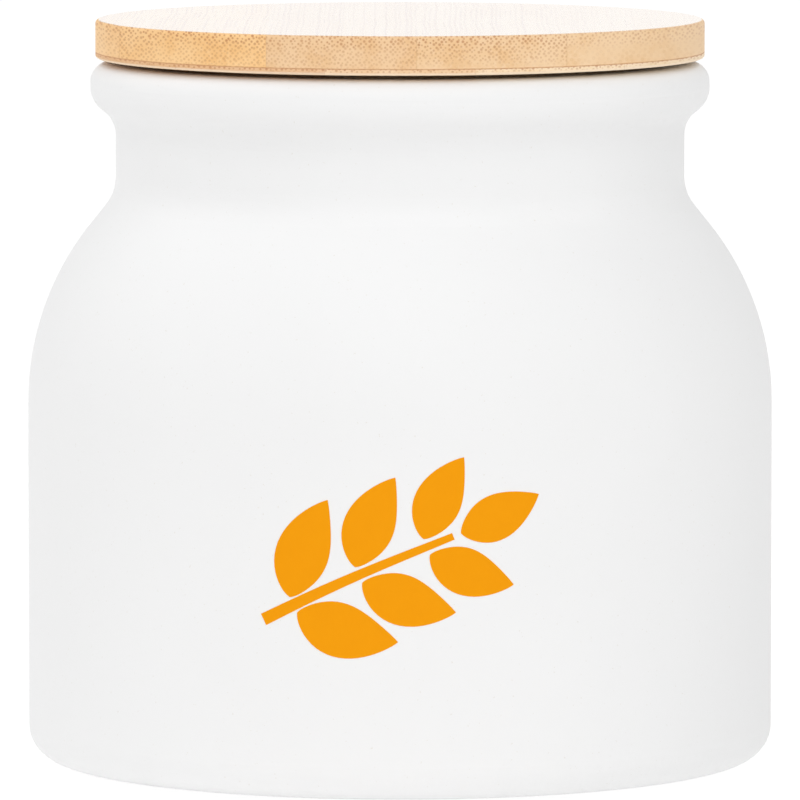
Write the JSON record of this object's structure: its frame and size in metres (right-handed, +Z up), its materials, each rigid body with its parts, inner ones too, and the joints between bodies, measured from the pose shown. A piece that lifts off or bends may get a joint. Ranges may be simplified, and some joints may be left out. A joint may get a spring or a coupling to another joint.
{
  "type": "lidded storage jar",
  "caption": "Round ceramic food canister with a wide shoulder, a rolled rim and a flat bamboo lid that lifts off on a silicone seal.",
  "frame": {"origin": "centre of the foot on the surface that the jar stands on", "axes": "+Z up along the jar's axis, -Y towards the printed front, +X to the right of someone facing it"},
  "size_m": [0.12, 0.12, 0.1203],
  "materials": {
    "glaze": "matt white glaze",
    "silicone": "milky silicone",
    "bamboo": "sanded and lightly oiled",
    "print": "matt orange decal"
  },
  "bodies": {
    "jar": {"jar": "glaze"},
    "seal": {"seal_ring": "silicone"},
    "lid": {"lid_top_strip_1": "bamboo", "lid_top_strip_2": "bamboo", "lid_top_strip_3": "bamboo", "lid_top_strip_4": "bamboo", "lid_top_strip_5": "bamboo", "lid_core_strip_1": "bamboo", "lid_core_strip_2": "bamboo", "lid_core_strip_3": "bamboo", "lid_core_strip_4": "bamboo", "lid_core_strip_5": "bamboo", "plug_strip_1": "bamboo", "plug_strip_2": "bamboo", "plug_strip_3": "bamboo", "plug_strip_4": "bamboo"}
  },
  "joints": [
    {"name": "lid_lift", "type": "slide", "parent": "jar", "child": "seal", "axis": [0, 0, 1], "range_m": [0, 0.12]},
    {"name": "lid_turn", "type": "hinge", "parent": "seal", "child": "lid", "pos_m": [0, 0, 0.109], "axis": [0, 0, 1], "continuous": true}
  ]
}
